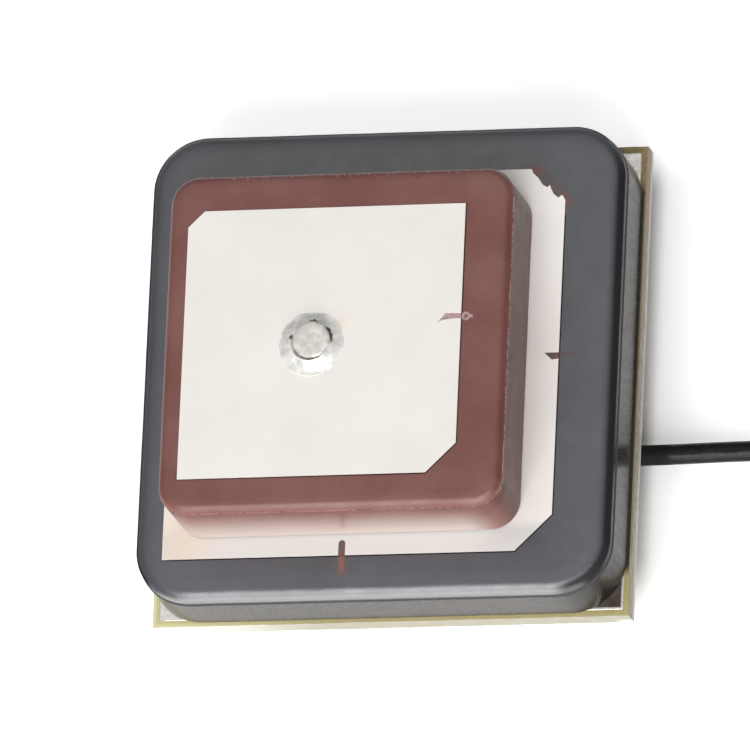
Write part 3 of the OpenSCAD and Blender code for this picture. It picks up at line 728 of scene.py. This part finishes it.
def plain(name, colour, roughness, metallic=0.0, size=0.4, depth=0.004):
    """A small part's finish: one colour that wavers a little, with fine grain."""
    made = Finish(name, colour, roughness, metallic)
    darker = tuple(channel * 0.88 for channel in colour[:3]) + (1.0,)
    grain = made.noise(size, 4)
    made.set("Base Color", made.blend(made.spread(grain, 0.3, 0.7), darker, colour))
    made.set("Roughness", made.spread(grain, 0.3, 0.7, roughness * 0.85, roughness * 1.15))
    made.relief(grain, depth)
    return made.material


# Meshes

def add_piece(name, mesh, finishes, slot, *nodes):
    """Makes a finished mesh a piece of the object that stands for CAD nodes."""
    piece = bpy.data.objects.new(name, mesh)
    bpy.context.scene.collection.objects.link(piece)
    for finish in finishes:
        mesh.materials.append(finish)
    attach(piece, "root")
    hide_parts(*nodes)


def to_mesh(name, bm, smooth_angle=35):
    """Turns a bmesh into a mesh that is smooth except at its real edges."""
    mesh = bpy.data.meshes.new(name)
    bm.normal_update()
    bm.to_mesh(mesh)
    bm.free()
    mesh.shade_smooth()
    mesh.set_sharp_from_angle(angle=math.radians(smooth_angle))
    return mesh


def slab(bm, low, high):
    """A box between two corners."""
    made = bmesh.ops.create_cube(bm, size=1)["verts"]
    bmesh.ops.scale(bm, vec=high - low, verts=made)
    bmesh.ops.translate(bm, vec=(low + high) / 2, verts=made)


def is_upright(edge):
    return (edge.verts[0].co - edge.verts[1].co).normalized().cross(UP).length < 0.001


def round_uprights(bm, radius, segments):
    bmesh.ops.bevel(
        bm, geom=[edge for edge in bm.edges if is_upright(edge)], offset=radius, affect="EDGES",
        segments=segments, profile=0.5, material=-1,
    )


def top_face(bm):
    bm.faces.ensure_lookup_table()
    return max(bm.faces, key=lambda face: face.calc_center_median().z)


def cut_into_cells(bm, spacing, axes):
    """Cuts the whole mesh by evenly spaced planes, so that it can be worn and bent."""
    for axis in axes:
        places = [vertex.co[axis] for vertex in bm.verts]
        low, high = min(places), max(places)
        count = int((high - low) / spacing)
        across = Vector([1 if i == axis else 0 for i in range(3)])
        for step in range(1, count):
            everything = bm.verts[:] + bm.edges[:] + bm.faces[:]
            point = across * (low + (high - low) * step / count)
            bmesh.ops.bisect_plane(bm, geom=everything, dist=MERGED, plane_co=point, plane_no=across)


def rough(point, depth, size, shift=(0, 0, 0)):
    """Smooth noise of so much depth, with swells of about that size."""
    return depth * noise.noise(point / size + Vector(shift))


def waver(bm, depth, size, seed):
    """Moves each point a little along its normal, by smooth noise."""
    bm.normal_update()
    for vertex in bm.verts:
        vertex.co += vertex.normal * rough(vertex.co, depth, size, (seed, 0, 0))


def outwards(point, centre):
    """From an upright line through the centre straight out to the point."""
    return Vector((point.x - centre.x, point.y - centre.y, 0))


def raise_top(bm, top, inwards, upwards):
    """Draws the top face in and then up, which leaves a ring of sloping faces round it."""
    if inwards > 0:
        bmesh.ops.inset_region(bm, faces=[top], thickness=inwards, use_even_offset=True)
    else:
        raised = bmesh.ops.extrude_discrete_faces(bm, faces=[top])["faces"]
        top = raised[0]
    bmesh.ops.translate(bm, vec=UP * upwards, verts=top.verts)
    return top


def draw_arc(bm, top, radius, start, end, rings):
    """Draws the top face in and up along an arc whose slope goes from the start to the end angle."""
    for ring in range(rings):
        before = start + (end - start) * ring / rings
        after = start + (end - start) * (ring + 1) / rings
        inwards = radius * (math.sin(before) - math.sin(after))
        top = raise_top(bm, top, inwards, radius * (math.cos(after) - math.cos(before)))
    return top


def pressed_block(node, corner_r, edge, turn, seed):
    """A pressed and fired block: round uprights, the land, the step above it and the domed edge. The
    sides under the edge take the second material."""
    land, step, dome_h, dome_r, dome_slope, gentle_w = edge
    low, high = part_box(node)
    shoulder = high.z - dome_h - step
    bm = bmesh.new()
    slab(bm, low, Vector((high.x, high.y, shoulder)))
    round_uprights(bm, corner_r, CORNER_SEGMENTS)
    top = raise_top(bm, top_face(bm), land, 0)
    if step > 0:
        top = raise_top(bm, top, 0, step)
    top = draw_arc(bm, top, dome_r, dome_slope, GENTLE_SLOPE, DOME_RINGS)
    top = draw_arc(bm, top, gentle_w / math.sin(GENTLE_SLOPE), GENTLE_SLOPE, 0, GENTLE_RINGS)
    bmesh.ops.translate(bm, vec=UP * (high.z - top.verts[0].co.z), verts=top.verts)
    cut_into_cells(bm, BLOCK_CELL, (0, 1, 2))
    bm.normal_update()
    for face in bm.faces:
        face.material_index = int(abs(face.normal.z) < 0.5 and face.calc_center_median().z < shoulder)
    for number, (depth, size) in enumerate(BLOCK_SWELLS):
        waver(bm, depth, size, seed + SEED_STEP * number)
    bmesh.ops.rotate(bm, cent=(low + high) / 2, matrix=Matrix.Rotation(turn, 3, "Z"), verts=bm.verts)
    return to_mesh(node, bm, smooth_angle=40)


def board_mesh():
    """Sawn laminate with slightly uneven sides; the sides take the second material."""
    low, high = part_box("circuit_board")
    bm = bmesh.new()
    slab(bm, low, high)
    cut_into_cells(bm, BOARD_CELL, (0, 1))
    cut_into_cells(bm, BOARD_LAYER, (2,))
    bm.normal_update()
    for face in bm.faces:
        face.material_index = 0 if abs(face.normal.z) > 0.5 else 1
    for vertex in bm.verts:
        out = outwards(vertex.co, (low + high) / 2)
        past_side = max(abs(out.x) - (high.x - low.x) / 2, abs(out.y) - (high.y - low.y) / 2)
        if past_side > -ON_SIDE:
            vertex.co += out.normalized() * sum(rough(vertex.co, *swell) for swell in BOARD_SWELLS)
    return to_mesh("board", bm, smooth_angle=50)


def tin_mesh():
    """The tinned plane, with its solder drawn up into a soft bead along its border."""
    low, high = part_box("top_copper")
    thick = high.z - low.z
    bm = bmesh.new()
    slab(bm, low, Vector((high.x, high.y, low.z + thick * TIN_FLAT_SHARE)))
    for inwards, share in TIN_BEAD:
        top = top_face(bm)
        bmesh.ops.inset_region(bm, faces=[top], thickness=inwards)
        bmesh.ops.translate(bm, vec=UP * thick * share, verts=top.verts)
    cut_into_cells(bm, TIN_CELL, (0, 1))
    return to_mesh("tin plane", bm, smooth_angle=60)


def spun(profile, centre, steps):
    """A ring or disc, turned from a profile of (radius, height) points."""
    bm = bmesh.new()
    points = [bm.verts.new(centre + Vector((radius, 0, height))) for radius, height in profile]
    for first, second in zip(points, points[1:]):
        bm.edges.new((first, second))
    bmesh.ops.spin(
        bm, geom=bm.verts[:] + bm.edges[:], cent=centre, axis=UP, dvec=(0, 0, 0),
        angle=2 * math.pi, steps=steps, use_merge=True,
    )
    bmesh.ops.remove_doubles(bm, verts=bm.verts, dist=MERGED)
    return bm


def feed_pin_mesh():
    """The pin's flat, slightly battered head on its long shank."""
    low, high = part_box("feed_pin")
    centre = Vector((FEED.x, FEED.y, high.z))
    end = low.z - high.z
    profile = [(radius * MM, height * MM) for radius, height in HEAD_TOP_MM]
    profile += [(HEAD_R, -HEAD_T), (SHANK_R, -HEAD_T), (SHANK_R, end), (0, end)]
    bm = spun(profile, centre, PIN_STEPS)
    for vertex in bm.verts:
        out = outwards(vertex.co, centre)
        if out.length > RIM_STARTS_R:
            dent = rough(out.normalized(), *RIM_DENTS) + rough(vertex.co, *RIM_NICKS)
            vertex.co += out.normalized() * (dent - RIM_WORN)
        vertex.co.y = max(vertex.co.y, centre.y - HEAD_FLAT)
        if vertex.co.z > centre.z - TOP_T:
            vertex.co.z += rough(vertex.co, *TOP_DENTS) - TOP_WORN
    bmesh.ops.recalc_face_normals(bm, faces=bm.faces)
    return to_mesh("feed pin", bm, smooth_angle=45)


def top_solder_mesh():
    """Lumpy fillet round the head. The gaps where it has shrunk away from the head are in its material."""
    low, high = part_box("top_solder")
    centre = Vector(((low.x + high.x) / 2, (low.y + high.y) / 2, low.z))
    outer = (high.x - low.x) / 2
    profile = [(outer, 0.0)]
    for ring in range(SOLDER_RINGS + 1):
        share = ring / SOLDER_RINGS
        height = SOLDER_EDGE + (SOLDER_RISE - SOLDER_EDGE) * share ** SOLDER_HOLLOW
        profile.append((outer - (outer - HEAD_R) * share, height))
    bm = spun(profile + SOLDER_UNDER_HEAD, centre, SOLDER_STEPS)
    bmesh.ops.recalc_face_normals(bm, faces=bm.faces)
    for vertex in bm.verts:
        out = outwards(vertex.co, centre).normalized()
        vertex.co += out * (rough(out, *SOLDER_BULGES) + rough(vertex.co, *SOLDER_LUMPS))
        if vertex.co.z > low.z + SOLDER_FOOT:
            vertex.co.z += rough(vertex.co, *SOLDER_HEAVES)
    return to_mesh("top solder", bm, smooth_angle=60)


# Camera

def place_camera():
    lens = bpy.data.cameras.new("camera")
    lens.lens = CAMERA_LENS_MM
    camera = bpy.data.objects.new("camera", lens)
    camera.location = CAMERA_PLACE
    camera.rotation_euler = Euler([math.radians(turn) for turn in CAMERA_TURN])
    bpy.context.scene.collection.objects.link(camera)
    bpy.context.scene.camera = camera


# Coax lead

def coil_points():
    """Two flat turns that close in, with a low hump where the strands cross the tie."""
    points = []
    count = COIL_TURNS * POINTS_PER_TURN
    for step in range(1, count + 1):
        turned = 2 * math.pi * step / POINTS_PER_TURN
        radius = COIL_START_R - COIL_PITCH * step / POINTS_PER_TURN
        angle = turned - math.pi / 2
        off_tie = math.remainder(angle - TIE_ANGLE, 2 * math.pi)
        hump = TIE_T * math.exp(-((off_tie / TIE_HUMP) ** 2))
        around = Vector((radius * math.cos(angle), radius * math.sin(angle), LEAD_D / 2 + hump))
        points.append(COIL_MIDDLE + around)
    return points


def tail_points():
    """A bend inside the coil that rises into the plug's crimp."""
    centre = COIL_MIDDLE + Vector((0, TAIL_R - (COIL_START_R - COIL_TURNS * COIL_PITCH), 0))
    points = []
    for step in range(1, TAIL_POINTS + 1):
        share = step / TAIL_POINTS
        angle = TAIL_SWEEP * share
        rise = LEAD_D / 2 + CRIMP_LIFT * share ** 2
        points.append(centre + Vector((TAIL_R * math.sin(angle), -TAIL_R * math.cos(angle), rise)))
    ahead = Vector((math.cos(TAIL_SWEEP), math.sin(TAIL_SWEEP), 0))
    points.append(points[-1] + ahead * CRIMP_IN)
    return points


def lay_lead(finish):
    """One round cord along the whole route, from inside the can to the plug."""
    points = [Vector(point) * MM for point in LEAD_ROUTE_MM] + coil_points() + tail_points()
    line = bpy.data.curves.new("lead", "CURVE")
    line.dimensions = "3D"
    line.bevel_depth = LEAD_D / 2
    line.bevel_resolution = LEAD_STEPS_ROUND
    line.resolution_u = LEAD_STEPS_ALONG
    line.use_fill_caps = True
    spline = line.splines.new("BEZIER")
    spline.bezier_points.add(len(points) - 1)
    for stop, point in zip(spline.bezier_points, points):
        stop.co = point
        stop.handle_left_type = "AUTO"
        stop.handle_right_type = "AUTO"
    line.materials.append(finish)
    lead = bpy.data.objects.new("lead", line)
    bpy.context.scene.collection.objects.link(lead)
    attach(lead, "root")
    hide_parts("coax_lead", "lead_coil", "lead_tail")


# Light and stage

def soft_box(name, up_angle, turn, width, height, brightness):
    """A large even lamp a metre away that faces the object, at so many degrees above the horizon and
    turned to the right of the front. Brightness 1 shows as white in a mirror."""
    place = Euler((math.radians(90 - up_angle), 0, math.radians(turn))).to_matrix() @ UP
    lamp = bpy.data.lights.new(name, "AREA")
    lamp.shape = "RECTANGLE"
    lamp.size = width
    lamp.size_y = height
    lamp.energy = brightness * math.pi * width * height
    stand = bpy.data.objects.new(name, lamp)
    stand.location = place
    stand.rotation_euler = (-place).to_track_quat("-Z", "Y").to_euler()
    stand.visible_camera = False
    bpy.context.scene.collection.objects.link(stand)


def dark_card():
    """A black card on the right, which keeps light off that side and shows dark in the gloss."""
    bm = bmesh.new()
    slab(bm, CARD_LOW, CARD_HIGH)
    card = bpy.data.objects.new("dark card", to_mesh("dark card", bm))
    card.data.materials.append(plain("black card", paint(12, 12, 12), 0.9))
    card.visible_camera = False
    bpy.context.scene.collection.objects.link(card)


def stage_floor():
    """A wide white floor, which isn't seen from below. It glows a little, for the camera and in gloss
    and glass only, so that it is white and keeps the object's shadow."""
    white = paint(231, 231, 231)
    made = Finish("white floor", white, 1)
    tree = made.tree
    path = tree.nodes.new("ShaderNodeLightPath")
    low, high = box_mm("circuit_board")
    x, y = made.split(made.place)[:2]
    off_line = made.math("ABSOLUTE", made.minus(x, high.x - SHADOW_INSIDE))
    beside_board = made.times(made.spread(y, low.y, low.y + 6), made.spread(y, high.y + 2, high.y - 2))
    strength = made.spread(y, high.y, high.y + 3, FLOOR_GLOW, FLOOR_GLOW + GLOW_BEHIND)
    for width, darker in (DEEP_SHADOW, FAINT_SHADOW):
        shadow = made.times(made.spread(off_line, width, 0), beside_board)
        strength = made.minus(strength, made.times(shadow, darker))
    strength = made.times(path.outputs["Is Camera Ray"], strength)
    in_gloss = made.highest(path.outputs["Is Glossy Ray"], path.outputs["Is Transmission Ray"])
    strength = made.plus(strength, made.times(in_gloss, FLOOR_GLOW_IN_GLOSS))
    matt = tree.nodes.new("ShaderNodeBsdfDiffuse")
    matt.inputs["Color"].default_value = white
    glow = tree.nodes.new("ShaderNodeEmission")
    tree.links.new(strength, glow.inputs["Strength"])
    both = tree.nodes.new("ShaderNodeAddShader")
    tree.links.new(matt.outputs[0], both.inputs[0])
    tree.links.new(glow.outputs[0], both.inputs[1])
    clear = tree.nodes.new("ShaderNodeBsdfTransparent")
    side = tree.nodes.new("ShaderNodeNewGeometry")
    choose = tree.nodes.new("ShaderNodeMixShader")
    tree.links.new(side.outputs["Backfacing"], choose.inputs[0])
    tree.links.new(both.outputs[0], choose.inputs[1])
    tree.links.new(clear.outputs[0], choose.inputs[2])
    tree.nodes.remove(made.shader)
    tree.links.new(choose.outputs[0], tree.nodes["Material Output"].inputs["Surface"])
    bm = bmesh.new()
    bmesh.ops.create_circle(bm, cap_ends=True, radius=FLOOR_R, segments=FLOOR_SEGMENTS)
    floor = bpy.data.objects.new("floor", to_mesh("floor", bm))
    floor.data.materials.append(made.material)
    bpy.context.scene.collection.objects.link(floor)


def sky():
    """A room that is brightest a little to the back left of overhead and dim at the horizon. The camera
    sees it as plain white."""
    world = bpy.data.worlds.new("studio")
    world.use_nodes = True
    tree = world.node_tree
    direction = tree.nodes.new("ShaderNodeTexCoord")
    nearness = tree.nodes.new("ShaderNodeVectorMath")
    nearness.operation = "DOT_PRODUCT"
    tree.links.new(direction.outputs["Generated"], nearness.inputs[0])
    nearness.inputs[1].default_value = SKY_POLE
    shade = tree.nodes.new("ShaderNodeValToRGB")
    tree.links.new(nearness.outputs["Value"], shade.inputs[0])
    places, shades = zip(*SKY_SHADES)
    for place in places[1:-1]:
        shade.color_ramp.elements.new(place)
    for stop, brightness in zip(shade.color_ramp.elements, shades):
        stop.color = (brightness, brightness, brightness, 1)
    path = tree.nodes.new("ShaderNodeLightPath")
    seen = tree.nodes.new("ShaderNodeMix")
    seen.data_type = "RGBA"
    tree.links.new(path.outputs["Is Camera Ray"], seen.inputs[0])
    tree.links.new(shade.outputs[0], seen.inputs[6])
    seen.inputs[7].default_value = (1, 1, 1, 1)
    tree.links.new(seen.outputs[2], tree.nodes["Background"].inputs["Color"])
    bpy.context.scene.world = world


def light_stage():
    soft_box("high box", *HIGH_BOX)
    soft_box("front box", *FRONT_BOX)
    dark_card()
    stage_floor()
    sky()
    bpy.context.scene.view_settings.view_transform = "Standard"


def finish_parts():
    """Gives every node that stays as it is its own finish."""
    joint = solder()
    tape = plain("white tape", paint(226, 226, 220), 0.75, depth=0.01)
    ground = plain("fired silver", paint(214, 210, 204), 0.5, metallic=0.3)
    finishes = {
        "bottom_copper": tin(),
        "lower_tape": tape,
        "upper_tape": tape,
        "lower_ground_silver": ground,
        "upper_ground_silver": ground,
        "lower_patch": lower_silver(),
        "upper_patch": upper_silver(),
        "bottom_solder": joint,
        "shield_solder": joint,
        "braid_solder": joint,
        "wire_solder": joint,
        "shield_can": can_steel(),
        "amplifier_chips": plain("black moulding", paint(30, 30, 32), 0.55),
        "voltage_regulator": plain("black moulding of the regulator", paint(34, 34, 36), 0.6),
        "band_filters": plain("filter ceramic", paint(196, 184, 150), 0.5),
        "chip_capacitors": plain("tan ceramic", paint(176, 150, 118), 0.45),
        "chip_resistors": plain("resistor glaze", paint(40, 40, 43), 0.35),
        "chip_inductors": plain("coil ferrite", paint(150, 156, 152), 0.5),
        "coax_braid": plain("braid", paint(200, 192, 180), 0.35, metallic=1.0, size=0.15),
        "coax_insulation": plain("clear insulation", paint(236, 236, 234), 0.35),
        "coax_wire": plain("plated wire", paint(214, 206, 190), 0.3, metallic=1.0),
        "coil_tie": plain("black paper tie", paint(38, 37, 36), 0.75, depth=0.02),
        "plug_shell": plain("gold plating", paint(212, 182, 118), 0.25, metallic=1.0),
        "plug_insulator": plain("plug moulding", paint(232, 230, 220), 0.5),
        "plug_contact": plain("contact plating", paint(222, 178, 88), 0.2, metallic=1.0),
    }
    for node, finish in finishes.items():
        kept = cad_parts[node].data.materials
        kept.clear()
        kept.append(finish)


place_camera()
lay_lead(black_jacket())
add_piece(
    "grey_block", pressed_block("lower_ceramic", GREY_CORNER_R, GREY_EDGE, 0, GREY_SEED),
    [grey_ceramic(), grey_wall()], "grey_ceramic", "lower_ceramic",
)
add_piece(
    "red_block", pressed_block("upper_ceramic", RED_CORNER_R, RED_EDGE, RED_TURN, RED_SEED),
    [red_ceramic(), red_ceramic("red ceramic side", 0.3, 1.3, 0.78)], "red_ceramic", "upper_ceramic",
)
add_piece("sawn_board", board_mesh(), [laminate_face(), laminate_side()], "laminate", "circuit_board")
add_piece("tinned_plane", tin_mesh(), [tin()], "tinned_copper", "top_copper")
add_piece("battered_pin", feed_pin_mesh(), [pin_metal()], "plated_pin", "feed_pin")
feed_finish = solder("solder of the feed", FEED_ON_PLAN, FEED_GAPS)
add_piece("feed_joint", top_solder_mesh(), [feed_finish], "solder", "top_solder")
finish_parts()
light_stage()
